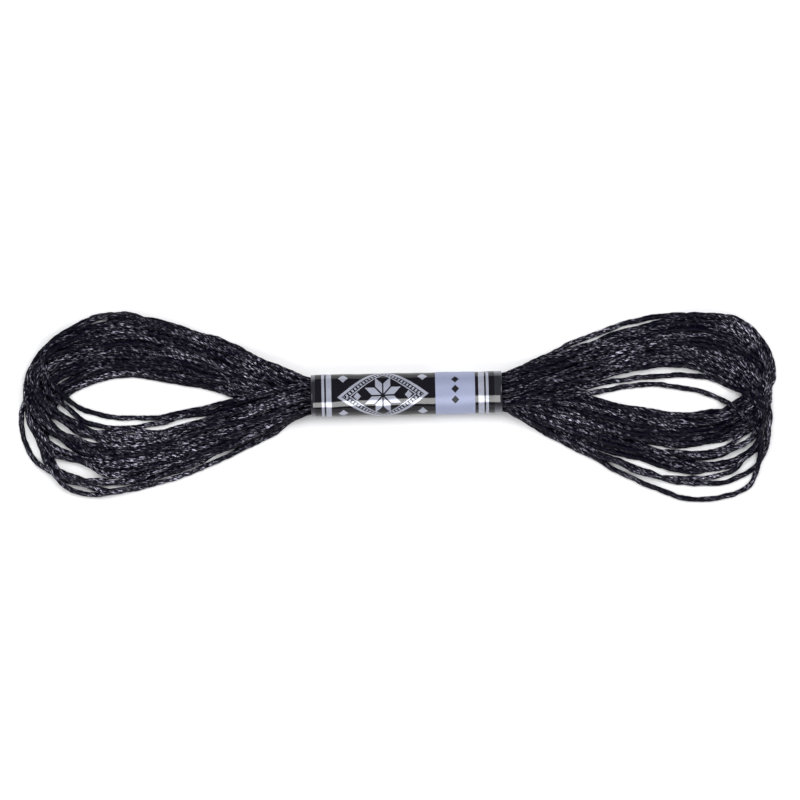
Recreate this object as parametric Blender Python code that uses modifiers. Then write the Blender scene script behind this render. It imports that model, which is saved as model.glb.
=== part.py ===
"""Skein of embroidery floss lying on a table, held at its waist by a label band of film.

X runs along the skein, Y across it and Z up from the surface it rests on. The origin is the
middle of the band's flat underside. Lengths are in millimetres and turned to metres where
an object is made.
"""
import math

import bmesh
import bpy

MM = 0.001

# Label band: an oval sleeve with a flat underside.
BAND_LENGTH = 38.0
BAND_WIDTH = 8.6
BAND_HEIGHT = 7.0
BAND_WALL = 1.0
BAND_FLAT = 0.2
BAND_SIDES = 40
BORE_OVERRUN = 1.0
FIT_GAP = 0.35

# Floss: one thread's thickness, and how a bundle of them thickens.
THREAD = 1.25
BUNDLE_GROWTH = 0.36
ROPE_SIDES_RESOLUTION = 3
ROPE_STEPS = 10

# The floss inside the band, and the mouth just outside it from which the bundles spread.
WAIST_OVERHANG = 0.9
WAIST_SIDES = 36
ROOT_OUT = 14.0
THROAT_OUT = 18.6
MOUTH_OUT = 21.5
THROAT_THICKNESS = 0.8
MOUTH_THICKNESS = 0.9
MOUTH_HALF_WIDTH = 3.5
MOUTH_HALF_HEIGHT = 2.0
MOUTH_OVERLAP = 0.29
THROAT_SHARE = 0.6

# Bezier handles as shares of the distance between neighbouring points.
MOUTH_HANDLE = 0.28
MOUTH_SLOPE = 0.85
CREST_HANDLE = 0.42

# How the bundles are fused into one body.
WELD = 0.001
FUSE_VOXEL = 0.24
FLOSS_TRIANGLES = 9000
CUT_BLOCK = 200.0

# One row for each bundle of threads in a loop: the threads in it, then its highest point in
# the photograph's view (crown), its far end (tip) and its lowest point (belly). "out" is the
# distance from the middle of the band, y is across and z is the height of the bundle's axis.
COLUMNS = (
    "threads", "crown_out", "crown_y", "crown_z", "tip_out", "tip_y", "tip_z",
    "belly_out", "belly_y", "belly_z", "roundness",
)
LEFT_LOOP = (
    (1, 56.0, 16.4, 2.3, 73.0, 9.0, 3.6, 55.0, -3.7, 0.5, 0.46),
    (2, 57.0, 15.4, 1.6, 74.2, 7.2, 3.4, 55.0, -5.9, 0.7, 0.46),
    (2, 55.0, 14.0, 0.7, 75.0, 5.4, 3.1, 56.0, -7.5, 1.8, 0.48),
    (2, 56.0, 12.5, 1.8, 75.7, 3.6, 2.8, 57.0, -9.0, 0.7, 0.48),
    (2, 55.0, 11.0, 0.7, 76.2, 1.8, 2.4, 58.0, -10.5, 1.8, 0.50),
    (3, 56.0, 9.4, 1.8, 76.4, 0.0, 2.1, 59.0, -12.0, 0.8, 0.50),
    (2, 55.0, 7.9, 0.7, 76.2, -1.6, 1.7, 60.0, -13.5, 1.8, 0.50),
    (2, 56.0, 6.5, 1.8, 75.6, -3.2, 1.4, 61.0, -14.9, 0.7, 0.50),
    (2, 57.0, 5.4, 0.7, 74.4, -4.8, 1.1, 63.0, -16.6, 1.7, 0.54),
    (2, 57.0, 4.6, 1.7, 72.8, -6.2, 0.8, 64.0, -17.6, 0.7, 0.54),
    (2, 58.0, 16.4, 0.7, 76.4, -4.0, 0.8, 65.0, -17.4, 2.2, 0.52),
    (1, 57.0, 16.7, 1.7, 77.0, -5.0, 0.6, 64.0, -18.6, 1.4, 0.54),
    (1, 57.0, 16.9, 0.5, 77.2, -5.2, 0.5, 62.0, -19.2, 0.5, 0.54),
)
RIGHT_LOOP = (
    (2, 58.0, 14.9, 0.7, 73.5, 0.5, 1.0, 55.0, -7.6, 0.7, 0.56),
    (2, 60.0, 14.0, 1.8, 73.1, 2.0, 0.8, 55.0, -6.9, 1.8, 0.56),
    (1, 56.0, 12.9, 0.5, 70.6, 5.0, 0.6, 54.0, -5.7, 0.5, 0.56),
    (2, 57.0, 12.0, 1.7, 71.8, 3.4, 1.0, 54.5, -6.5, 0.7, 0.54),
    (2, 56.0, 10.9, 0.7, 72.6, 1.8, 1.4, 55.0, -8.3, 1.7, 0.54),
    (3, 55.0, 9.8, 1.8, 73.2, 0.2, 1.8, 55.5, -9.8, 0.8, 0.54),
    (2, 55.0, 8.6, 0.7, 73.4, -1.4, 2.1, 56.0, -11.2, 1.8, 0.54),
    (3, 54.0, 7.5, 1.8, 73.2, -3.0, 2.4, 57.0, -12.8, 0.8, 0.54),
    (2, 54.0, 6.4, 0.7, 72.8, -5.0, 2.7, 58.0, -14.4, 1.8, 0.54),
    (2, 53.0, 5.6, 1.7, 72.2, -6.6, 3.0, 59.0, -16.0, 0.7, 0.54),
    (1, 53.0, 3.2, 0.7, 72.0, -8.2, 3.4, 58.0, -17.9, 1.1, 0.54),
    (1, 53.0, 2.6, 1.5, 71.6, -8.8, 3.5, 60.0, -18.6, 0.5, 0.54),
    (1, 52.0, 0.8, 0.7, 71.4, -11.4, 3.1, 59.5, -22.0, 0.5, 0.52),
)

# Each material: colour, roughness, metallic.
FLOSS_FINISH = ((0.022, 0.021, 0.029, 1.0), 0.45, 0.3)
FILM_FINISH = ((0.014, 0.013, 0.018, 1.0), 0.3, 0.0)

band_centre_z = BAND_HEIGHT / 2 - BAND_FLAT
waist_half_width = BAND_WIDTH / 2 - BAND_WALL - FIT_GAP
waist_half_height = BAND_HEIGHT / 2 - BAND_WALL - FIT_GAP


def clear_scene():
    """Empty the file of whatever it starts with."""
    for obj in list(bpy.data.objects):
        bpy.data.objects.remove(obj, do_unlink=True)


def new_collection(name):
    """A collection linked to the scene."""
    collection = bpy.data.collections.new(name)
    bpy.context.scene.collection.children.link(collection)
    return collection


def principled(name, colour, roughness, metallic):
    """A plain Principled material."""
    material = bpy.data.materials.new(name)
    material.use_nodes = True
    material.diffuse_color = colour
    shader = material.node_tree.nodes["Principled BSDF"]
    shader.inputs["Base Color"].default_value = colour
    shader.inputs["Roughness"].default_value = roughness
    shader.inputs["Metallic"].default_value = metallic
    return material


def new_object(name, mesh, collection):
    """An object for a mesh, in one collection."""
    obj = bpy.data.objects.new(name, mesh)
    collection.objects.link(obj)
    return obj


def oval_bar(name, length, half_width, half_height, sides, collection):
    """A closed oval bar along X, its axis at the height of the band's middle."""
    mesh = bpy.data.meshes.new(name)
    shape = bmesh.new()
    bmesh.ops.create_cone(
        shape, cap_ends=True, segments=sides, radius1=1.0, radius2=1.0, depth=length * MM
    )
    for vertex in shape.verts:
        across, height, along = vertex.co
        vertex.co = (along, across * half_width * MM, height * half_height * MM)
    shape.to_mesh(mesh)
    shape.free()
    bar = new_object(name, mesh, collection)
    bar.location.z = band_centre_z * MM
    return bar


def below_surface(name, collection):
    """A block that fills everything under the surface."""
    mesh = bpy.data.meshes.new(name)
    shape = bmesh.new()
    bmesh.ops.create_cube(shape, size=CUT_BLOCK * MM)
    shape.to_mesh(mesh)
    shape.free()
    block = new_object(name, mesh, collection)
    block.location.z = -CUT_BLOCK / 2 * MM
    return block


def cut(obj, cutter, name):
    """Take the cutter away from the object with an exact Boolean."""
    modifier = obj.modifiers.new(name, 'BOOLEAN')
    modifier.operation = 'DIFFERENCE'
    modifier.solver = 'EXACT'
    modifier.object = cutter


def hide_cutter(cutter):
    """Show a cutter as wire only."""
    cutter.hide_render = True
    cutter.display_type = 'WIRE'


def evaluated_mesh(obj):
    """The object's mesh with its modifiers applied."""
    graph = bpy.context.evaluated_depsgraph_get()
    graph.update()
    return bpy.data.meshes.new_from_object(obj.evaluated_get(graph))


def mouth_place(rank, count, side):
    """Where a bundle spreads from the mouth: its y and z, by its rank from the lowest upwards."""
    share = (rank + 0.5) / count
    across = side * MOUTH_OVERLAP + (2 * share - 1) * (1 - MOUTH_OVERLAP)
    height = (rank % 3 - 1) * math.sqrt(1 - across * across)
    return across * MOUTH_HALF_WIDTH, height * MOUTH_HALF_HEIGHT


def bundle_radius(threads):
    """Half the thickness of a bundle of threads."""
    return THREAD / 2 * threads ** BUNDLE_GROWTH


def between(start, end, share):
    """The point at a share of the way from start to end."""
    return tuple(first + (last - first) * share for first, last in zip(start, end))


def root_and_mouth(place, crest, crest_reach):
    """A bundle's straight way out of the band: its points, and how it leaves for its crest."""
    across, height = place
    root = (ROOT_OUT, across * THROAT_SHARE, band_centre_z + height * THROAT_SHARE)
    throat = (THROAT_OUT, root[1], root[2])
    mouth = (MOUTH_OUT, across, band_centre_z + height)
    flat_way = (crest[0], mouth[1] + (crest[1] - mouth[1]) * MOUTH_SLOPE, crest[2])
    leave = between(mouth, flat_way, MOUTH_HANDLE)
    reach = (crest[0] - mouth[0]) * crest_reach
    return root, throat, mouth, leave, reach


def loop_points(row, upper_mouth, lower_mouth):
    """A bundle's Bezier points as (point, handle before, handle after), with out as x."""
    crown = (row["crown_out"], row["crown_y"], row["crown_z"])
    tip = (row["tip_out"], row["tip_y"], row["tip_z"])
    belly = (row["belly_out"], row["belly_y"], row["belly_z"])

    def beside(point, out=0.0, across=0.0):
        return (point[0] + out, point[1] + across, point[2])

    root_up, throat_up, mouth_up, leave_up, reach_up = root_and_mouth(
        upper_mouth, crown, CREST_HANDLE
    )
    root_low, throat_low, mouth_low, leave_low, reach_low = root_and_mouth(
        lower_mouth, belly, CREST_HANDLE
    )
    share = row["roundness"]
    third = 1 / 3
    return (
        (root_up, beside(root_up, out=-1), between(root_up, throat_up, third)),
        (throat_up, between(throat_up, root_up, third), between(throat_up, mouth_up, third)),
        (mouth_up, between(mouth_up, throat_up, third), leave_up),
        (crown, beside(crown, out=-reach_up), beside(crown, out=share * (tip[0] - crown[0]))),
        (tip, beside(tip, across=share * (crown[1] - tip[1])),
         beside(tip, across=-share * (tip[1] - belly[1]))),
        (belly, beside(belly, out=share * (tip[0] - belly[0])), beside(belly, out=-reach_low)),
        (mouth_low, leave_low, between(mouth_low, throat_low, third)),
        (throat_low, between(throat_low, mouth_low, third),
         between(throat_low, root_low, third)),
        (root_low, between(root_low, throat_low, third), beside(root_low, out=-1)),
    )


def thickness_at(out):
    """A bundle's thickness as a share of its full one, by its distance from the band's middle."""
    if out <= THROAT_OUT:
        return THROAT_THICKNESS
    if out <= MOUTH_OUT:
        return MOUTH_THICKNESS
    return 1.0


def bundle(name, row, points, side, collection):
    """One bundle of threads as a closed round rope, made from a Bezier curve."""
    curve = bpy.data.curves.new(name, 'CURVE')
    curve.dimensions = '3D'
    curve.resolution_u = ROPE_STEPS
    curve.bevel_depth = bundle_radius(row["threads"]) * MM
    curve.bevel_resolution = ROPE_SIDES_RESOLUTION
    curve.use_fill_caps = True
    spline = curve.splines.new('BEZIER')
    spline.bezier_points.add(len(points) - 1)
    for knot, (place, before, after) in zip(spline.bezier_points, points):
        knot.handle_left_type = 'FREE'
        knot.handle_right_type = 'FREE'
        knot.co = (side * place[0] * MM, place[1] * MM, place[2] * MM)
        knot.handle_left = (side * before[0] * MM, before[1] * MM, before[2] * MM)
        knot.handle_right = (side * after[0] * MM, after[1] * MM, after[2] * MM)
        knot.radius = thickness_at(place[0])
    drawn = new_object(name + "_curve", curve, collection)
    mesh = evaluated_mesh(drawn)
    shape = bmesh.new()
    shape.from_mesh(mesh)
    bmesh.ops.remove_doubles(shape, verts=shape.verts[:], dist=WELD * MM)
    bmesh.ops.recalc_face_normals(shape, faces=shape.faces[:])
    shape.to_mesh(mesh)
    shape.free()
    rope = new_object(name, mesh, collection)
    rope.matrix_world = drawn.matrix_world.copy()
    bpy.data.objects.remove(drawn, do_unlink=True)
    return rope


def rank_by(rows, column):
    """Each row's rank, counted from the lowest value of a column."""
    order = sorted(range(len(rows)), key=lambda index: rows[index][column])
    return {index: rank for rank, index in enumerate(order)}


def loop_bundles(name, table, side, collection):
    """All bundles of one of the skein's two loops."""
    rows = [dict(zip(COLUMNS, values)) for values in table]
    crown_rank = rank_by(rows, "crown_y")
    belly_rank = rank_by(rows, "belly_y")
    ropes = []
    for index, row in enumerate(rows):
        upper_mouth = mouth_place(crown_rank[index], len(rows), 1)
        lower_mouth = mouth_place(belly_rank[index], len(rows), -1)
        points = loop_points(row, upper_mouth, lower_mouth)
        ropes.append(bundle(f"{name}_{index}", row, points, side, collection))
    return ropes


def largest_shell(mesh):
    """Keep only the piece of the mesh that has the most faces."""
    shape = bmesh.new()
    shape.from_mesh(mesh)
    unseen = set(shape.faces)
    shells = []
    while unseen:
        start = unseen.pop()
        shell = [start]
        waiting = [start]
        while waiting:
            face = waiting.pop()
            for edge in face.edges:
                for neighbour in edge.link_faces:
                    if neighbour in unseen:
                        unseen.remove(neighbour)
                        shell.append(neighbour)
                        waiting.append(neighbour)
        shells.append(shell)
    shells.sort(key=len)
    spare = [face for shell in shells[:-1] for face in shell]
    bmesh.ops.delete(shape, geom=spare, context='FACES')
    shape.to_mesh(mesh)
    shape.free()


def build_floss(parts, cutters, ground):
    """The floss: both loops and the waist inside the band, fused into one body."""
    ropes = loop_bundles("left_bundle", LEFT_LOOP, -1, cutters)
    ropes += loop_bundles("right_bundle", RIGHT_LOOP, 1, cutters)
    waist_length = BAND_LENGTH + 2 * WAIST_OVERHANG
    waist = oval_bar(
        "waist", waist_length, waist_half_width, waist_half_height, WAIST_SIDES, cutters
    )
    joined = bmesh.new()
    for piece in ropes + [waist]:
        piece.data.transform(piece.matrix_basis)
        joined.from_mesh(piece.data)
    bundle_mesh = bpy.data.meshes.new("bundles")
    joined.to_mesh(bundle_mesh)
    joined.free()
    for piece in ropes + [waist]:
        bpy.data.objects.remove(piece, do_unlink=True)

    loose = new_object("bundles", bundle_mesh, cutters)
    fuse = loose.modifiers.new("Fuse", 'REMESH')
    fuse.mode = 'VOXEL'
    fuse.voxel_size = FUSE_VOXEL * MM
    fused = evaluated_mesh(loose)
    largest_shell(fused)
    bpy.data.objects.remove(loose, do_unlink=True)

    floss = new_object("floss_skein", fused, parts)
    lighten = floss.modifiers.new("Lighten", 'DECIMATE')
    lighten.ratio = FLOSS_TRIANGLES / (2 * len(fused.polygons))
    cut(floss, ground, "Rest flat")
    return floss


def build_band(parts, cutters, ground):
    """The label band: an oval sleeve around the waist."""
    half_width = BAND_WIDTH / 2
    half_height = BAND_HEIGHT / 2
    band = oval_bar("label_band", BAND_LENGTH, half_width, half_height, BAND_SIDES, parts)
    bore = oval_bar(
        "band_bore", BAND_LENGTH + 2 * BORE_OVERRUN,
        half_width - BAND_WALL, half_height - BAND_WALL, BAND_SIDES, cutters,
    )
    hide_cutter(bore)
    cut(band, bore, "Bore")
    cut(band, ground, "Rest flat")
    return band


def main():
    clear_scene()
    parts = new_collection("floss_skein_with_band")
    cutters = new_collection("cutters")
    ground = below_surface("surface_block", cutters)
    hide_cutter(ground)

    floss = build_floss(parts, cutters, ground)
    floss.data.materials.clear()
    floss.data.materials.append(principled("floss", *FLOSS_FINISH))
    band = build_band(parts, cutters, ground)
    band.data.materials.append(principled("label_film", *FILM_FINISH))

    skein = bpy.data.objects.new("skein", None)
    parts.objects.link(skein)
    for piece in (floss, band):
        piece.parent = skein
        piece.data.shade_smooth()


main()
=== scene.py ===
"""The looks of a skein of embroidery floss: its plied thread, its film label and a studio."""
import math

import bmesh
import bpy
import numpy as np
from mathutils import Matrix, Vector


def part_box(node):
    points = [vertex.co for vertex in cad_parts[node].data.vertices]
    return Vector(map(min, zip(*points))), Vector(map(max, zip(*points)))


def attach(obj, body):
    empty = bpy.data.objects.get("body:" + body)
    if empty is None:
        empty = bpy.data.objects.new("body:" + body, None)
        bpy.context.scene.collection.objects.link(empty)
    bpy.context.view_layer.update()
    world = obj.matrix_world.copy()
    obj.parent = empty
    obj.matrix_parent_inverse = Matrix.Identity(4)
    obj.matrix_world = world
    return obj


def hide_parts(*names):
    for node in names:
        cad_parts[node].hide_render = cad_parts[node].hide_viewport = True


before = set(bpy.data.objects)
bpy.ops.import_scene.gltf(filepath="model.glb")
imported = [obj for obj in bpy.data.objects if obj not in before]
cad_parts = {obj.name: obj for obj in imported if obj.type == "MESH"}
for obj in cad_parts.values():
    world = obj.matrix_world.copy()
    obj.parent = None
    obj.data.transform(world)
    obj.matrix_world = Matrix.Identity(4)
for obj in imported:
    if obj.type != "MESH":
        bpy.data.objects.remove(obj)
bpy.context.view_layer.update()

bl_info = {
    "name": "Embroidery floss skein",
    "version": (1, 0, 0),
    "blender": (4, 5, 0),
    "location": "View3D > Sidebar > Floss skein",
    "description": "Winds a skein of plied floss, wraps its printed label and sets a studio",
    "category": "Object",
}

MM = 0.001

# The label's oval, in millimetres, from its box in the frame. It reaches a little below the
# surface, where the film is pressed flat.
LABEL_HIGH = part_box("label_band")[1]
LABEL_END = LABEL_HIGH.x / MM
LABEL_HALF_WIDTH = LABEL_HIGH.y / MM
LABEL_HALF_HEIGHT = 3.5
LABEL_CENTRE_Z = LABEL_HIGH.z / MM - LABEL_HALF_HEIGHT

# One row for each turn in a loop, in millimetres: its highest point as the skein is seen
# (crown), its far end (tip) and its lowest point (belly), and how round it is above and below
# the tip. "out" is the distance from the middle of the label, y is across and z the height.
COLUMNS = (
    "crown_out", "crown_y", "crown_z", "tip_out", "tip_y", "tip_z",
    "belly_out", "belly_y", "belly_z", "upper_round", "lower_round",
)
LEFT_LOOP = (
    (53.0, 15.4, 1.2, 72.5, 8.6, 4.2, 56.5, -3.75, 0.5, 0.46, 0.5),
    (54.5, 14.9, 2.0, 73.0, 8.0, 4.0, 58.5, -5.8, 0.5, 0.46, 0.5),
    (55.0, 14.5, 0.6, 74.2, 5.3, 3.8, 55.0, -6.9, 1.4, 0.5, 0.5),
    (56.0, 13.9, 1.6, 74.6, 4.8, 3.6, 56.5, -7.5, 0.6, 0.5, 0.5),
    (56.0, 13.2, 0.6, 74.8, 4.7, 3.5, 57.0, -8.1, 1.5, 0.5, 0.5),
    (55.5, 12.5, 1.6, 75.0, 4.8, 3.3, 57.5, -8.6, 0.6, 0.5, 0.5),
    (55.5, 11.8, 0.6, 75.1, 5.1, 3.2, 58.0, -9.2, 1.5, 0.5, 0.5),
    (56.0, 11.1, 1.6, 75.2, 2.2, 3.0, 58.0, -10.0, 0.6, 0.5, 0.5),
    (55.5, 10.5, 0.6, 75.4, 2.3, 2.9, 58.5, -10.5, 1.5, 0.5, 0.5),
    (58.0, 16.4, 0.6, 75.2, 1.8, 2.8, 59.0, -10.9, 0.6, 0.48, 0.48),
    (55.5, 9.9, 1.6, 75.4, 2.5, 2.6, 59.0, -11.3, 1.5, 0.5, 0.5),
    (58.0, 16.2, 1.6, 75.2, 1.9, 2.5, 59.5, -11.8, 0.6, 0.48, 0.46),
    (56.0, 9.3, 0.6, 75.2, -1.6, 2.3, 60.0, -12.4, 1.4, 0.5, 0.5),
    (55.5, 8.6, 1.6, 75.4, -1.8, 2.2, 60.0, -12.8, 0.6, 0.5, 0.5),
    (58.0, 16.6, 1.2, 75.1, -2.2, 2.1, 60.5, -13.3, 1.5, 0.485, 0.46),
    (56.0, 8.0, 0.6, 74.1, -2.7, 1.6, 61.0, -14.4, 0.6, 0.5, 0.46),
    (56.0, 7.4, 1.5, 74.2, -2.8, 1.5, 61.0, -14.6, 1.5, 0.5, 0.46),
    (56.0, 6.8, 0.6, 74.3, -2.9, 1.4, 57.0, -15.6, 0.6, 0.5, 0.46),
    (56.0, 5.3, 0.6, 73.4, -5.0, 1.0, 65.0, -16.8, 0.6, 0.5, 0.5),
    (56.0, 5.4, 1.5, 73.5, -5.2, 0.9, 64.5, -16.9, 1.5, 0.5, 0.5),
    (55.5, 6.1, 0.6, 73.8, -5.5, 0.8, 63.0, -17.0, 0.6, 0.5, 0.5),
    (55.0, 7.1, 1.5, 75.1, -5.3, 1.5, 62.6, -17.6, 1.4, 0.5, 0.45),
    (55.5, 6.4, 1.5, 75.2, -5.5, 0.6, 61.5, -17.9, 0.6, 0.5, 0.45),
    (58.0, 16.3, 1.9, 76.4, -5.6, 0.5, 60.2, -18.2, 1.2, 0.48, 0.45),
)
RIGHT_LOOP = (
    (52.5, 14.35, 0.6, 72.6, 3.2, 1.0, 57.0, -6.4, 0.6, 0.6, 0.54),
    (60.0, 14.4, 1.6, 72.7, 2.2, 1.1, 56.0, -6.9, 1.4, 0.62, 0.54),
    (60.5, 14.1, 0.6, 72.2, 1.4, 1.3, 56.0, -7.5, 0.6, 0.6, 0.54),
    (58.5, 13.1, 1.6, 71.9, 0.8, 1.5, 56.5, -8.0, 1.4, 0.58, 0.54),
    (57.5, 12.3, 0.6, 70.4, 4.0, 0.6, 58.0, -5.9, 0.6, 0.5, 0.62),
    (57.5, 11.8, 1.6, 70.8, 3.6, 0.8, 57.5, -6.2, 1.5, 0.5, 0.6),
    (57.0, 11.2, 0.6, 70.9, 3.8, 1.0, 56.0, -6.7, 0.6, 0.5, 0.55),
    (56.0, 10.7, 1.6, 71.3, 3.2, 1.2, 55.5, -7.3, 1.5, 0.5, 0.5),
    (56.0, 10.3, 0.6, 71.6, 2.4, 1.4, 55.5, -8.6, 0.6, 0.5, 0.5),
    (56.0, 9.9, 1.6, 71.8, 1.6, 1.6, 55.5, -9.1, 1.5, 0.5, 0.5),
    (55.0, 9.5, 0.6, 71.7, 0.8, 1.8, 56.0, -9.6, 0.6, 0.5, 0.5),
    (54.5, 9.1, 1.6, 71.7, 0.0, 2.0, 56.0, -10.1, 1.5, 0.5, 0.5),
    (54.0, 8.7, 0.6, 71.6, -0.8, 2.1, 56.0, -10.6, 0.6, 0.5, 0.5),
    (53.5, 8.3, 1.6, 71.6, -1.6, 2.2, 57.0, -11.0, 1.5, 0.5, 0.5),
    (53.0, 7.9, 0.6, 71.6, -2.4, 2.3, 57.0, -11.4, 0.6, 0.5, 0.5),
    (52.5, 7.5, 1.6, 71.6, -3.6, 2.4, 57.5, -13.1, 0.6, 0.5, 0.52),
    (52.0, 7.1, 0.6, 71.6, -4.0, 2.5, 57.5, -13.4, 1.5, 0.5, 0.52),
    (51.5, 6.7, 1.6, 71.6, -4.4, 2.6, 57.5, -13.7, 0.6, 0.5, 0.52),
    (51.5, 6.3, 0.6, 71.6, -6.3, 2.7, 59.5, -15.2, 1.5, 0.5, 0.5),
    (51.0, 5.9, 1.6, 71.6, -6.5, 2.8, 59.5, -15.7, 0.6, 0.5, 0.5),
    (51.0, 5.5, 0.6, 71.6, -6.8, 2.9, 58.5, -16.5, 1.2, 0.5, 0.5),
    (50.5, 5.1, 1.2, 71.7, -7.5, 3.1, 60.5, -19.3, 0.6, 0.5, 0.62),
    (50.5, 2.85, 0.6, 71.4, -6.0, 3.6, 56.5, -18.6, 1.4, 0.54, 0.5),
    (49.5, 0.7, 0.6, 70.9, -12.1, 4.2, 59.7, -22.05, 0.5, 0.54, 0.71),
)

# Places where the threads of a loop part and the surface shows between them, in millimetres:
# the gap's middle, the angle at which it lies, half its length and half its width.
GAP_COLUMNS = ("out", "y", "angle", "half_length", "half_width")
LEFT_GAPS = (
    (68.4, -1.9, 39, 2.1, 0.34),
    (68.7, -5.3, 39, 3.0, 0.5),
    (69.7, -8.4, 37, 3.0, 0.56),
    (68.4, -11.1, 31, 2.1, 0.42),
    (66.2, -13.5, 20, 5.8, 1.1),
    (75.2, -7.7, 74, 4.9, 0.22),
    (73.7, -9.9, 75, 2.9, 0.25),
    (64.9, -17.3, 11, 3.8, 0.26),
    (57.3, -17.2, -5, 2.9, 0.32),
    (48.9, -15.9, -13, 2.3, 0.24),
    (37.1, -11.15, -19, 2.5, 0.24),
    (44.2, -4.2, -8, 2.2, 0.2),
    (49.8, -5.8, -3, 2.4, 0.24),
    (68.5, 4.1, -30, 1.9, 0.22),
    (61.2, 15.7, -14, 1.7, 0.16),
    (73.2, 8.6, -53, 1.2, 0.26),
)
RIGHT_GAPS = (
    (59.8, -11.7, 7, 4.6, 0.32),
    (65.1, -12.9, 30, 3.3, 0.44),
    (69.2, -11.0, 59, 1.2, 0.3),
    (66.8, -10.5, 39, 2.0, 0.36),
    (71.3, -8.3, 76, 1.2, 0.28),
    (68.0, -15.0, 41, 3.3, 0.49),
    (46.0, 12.85, 13, 4.2, 0.14),
)

# Distances from the label's middle, in millimetres, at which a thread runs straight in the
# label, comes out at its mouth, is no longer held by it, and has its full thickness.
ROOT_OUT = 15.0
MOUTH_OUT = 20.2
HELD_OUT = MOUTH_OUT + 0.4
FULL_OUT = 24.0

# Room inside the label, in millimetres: from a thread to the film beside it and to the film
# under it, from the outermost slots to the label's outside, and how far its crest leans.
LABEL_WALL = 0.34
LABEL_UNDER = 0.26
LABEL_ROOM = 0.68
LABEL_LEAN = 0.48

# The slots in the label: their first pitch as a share of the even one, its shrinking until
# there are enough, the columns and levels tried, and how the upper and lower threads divide.
FIRST_PITCH = 1.06
NEXT_PITCH = 0.99
SLOT_TRIES = range(-12, 13)
SLOT_TILT = 2.0

# How the label holds the threads, as shares: their thickness in it, how far across they lie at
# the root and, at the right, at the mouth.
LABEL_SQUEEZE = 0.77
ROOT_SHARE = 0.86
MOUTH_SPREAD = 1.06

# How a thread bends: its handles as shares of the way to the next point, how steeply it heads
# for its crest, and the straight stretches at its root and mouth in millimetres.
MOUTH_HANDLE = 0.28
CROWN_HANDLE = 0.23
BELLY_HANDLE = 0.31
MOUTH_SLOPE = 1.08
ROOT_STRAIGHT = 2.0
MOUTH_STRAIGHT = 0.9

# The points of a course: in the label, from its mouth to a crest, from a crest to the tip, and
# in all once they are spaced evenly.
LABEL_STEPS = 12
WAY_STEPS = 60
TIP_STEPS = 40
COURSE_STEPS = 150

# The small bends of a thread: the length over which they are counted and their waves in
# millimetres, each with its share, their strength along, across and up, how much chance
# stretches a wave, and the distance past the mouth over which they grow.
STRAY_LENGTH = 127.0
STRAY_WAVES = ((34.0, 1.0), (15.0, 0.55), (7.0, 0.28), (4.0, 0.14))
STRAY_STRENGTHS = (0.6, 1.0, 0.6)
STRAY_STRETCH = (0.8, 1.25)
STRAY_EASE = 9.0

# How the threads part at a gap. In millimetres: how far beside it they move at first and after
# settling, and over what distance the move fades. As shares: how far past the gap's end it
# reaches and how alike a thread's heading has to be. The last is the rounds of easing.
GAP_BESIDE = 0.7
GAP_TRIM = 0.12
GAP_FADE = 1.5
GAP_BEYOND = 1.8
GAP_ALIKE = 0.72
GAP_ALIKE_OVER = 0.15
GAP_EASING = 5

# How the threads settle on each other and on the surface: the rounds, the pushes in each, and
# the rounds between two searches for near points.
SETTLE_ROUNDS = 120
PUSHES = 2
NEAR_REFRESH = 8

# What is near, in millimetres and in steps along a thread, and the points searched at a time.
NEAR_REACH = 1.7
OWN_STEPS = 6
NEAR_BLOCK = 512

# A round's moves: the share of their thickness at which threads touch, the sinking in
# millimetres, and as shares the pull back to the first place, the sideways part of a push,
# the pull that keeps the length, and the evening out between neighbours.
TOUCH = 0.94
SINK = 0.02
HOLD = 0.03
SIDEWAYS = 0.6
LENGTH_HOLD = 0.25
EVENING = 0.35

# The lowest place of a settled thread, how far past the mouth it starts to be free and over
# what distance, in millimetres, and a length that keeps a division from failing.
LOWEST = 0.35
FREE_AFTER = 0.5
FREE_OVER = 4.0
TINY = 1e-9

# The mesh of a thread: the points of a ply, the valleys between plies, the waves in which a ply
# swells (millimetres and shares), the step between added points, and the turns of a piece.
POINTS_PER_PLY = 3
VALLEY = 0.62
SWELL_WAVES = ((11.0, 0.5), (4.3, 0.6), (2.1, 0.5))
FINE_STEP = 0.25
TURNS_PER_PIECE = 4
UV_PER_MM = 0.1

# Up to where the label hides the thread and which points are kept there, and how far every
# piece stays above the surface, in millimetres.
HIDDEN_OUT = 16.6
HIDDEN_STRIDE = 8
CLEARANCE = 0.02

# The label's mesh: its faces along and round, how far its ends lift where they lap as a share
# of the film, and its ripples: depth in millimetres, waves along and waves round.
LABEL_GRID = (96, 160)
LAP_LIFT = 1.4
RIPPLES = ((0.03, 0.55, 2.1), (0.02, 1.3, -1.0))

# The thread's noises: how often each changes in a millimetre of thread and round a ply, and
# where it starts. Zones change in a metre of the skein. A fleck, a glint that is partly painted
# highlight, is so much streak, and the rest filament.
FILAMENTS = (1.4, 6.0, 0.0)
STREAKS = (1.25, 2.6, 4.7)
PATCHES = (0.045, 0.05, 9.1)
ZONES = 80.0
STREAK_SHARE = 0.6

# Ramps for them: each stop's place and share. The last begins past the label's end, as a share
# of its reach in millimetres, and lets the painted glints grow in from none at the label.
GLINT_STOPS = ((0.50, 0.0), (0.575, 0.12), (0.625, 1.0))
PATCH_STOPS = ((0.41, 0.07), (0.60, 1.0))
ZONE_STOPS = ((0.38, 0.3), (0.62, 1.0))
SHEEN_STOPS = ((0.4, 0.0), (0.66, 1.0))
OPEN_STOPS = ((0.475, 0.0), (0.49, 0.6), (0.80, 1.0))
OPEN_REACH = 40.0

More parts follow.
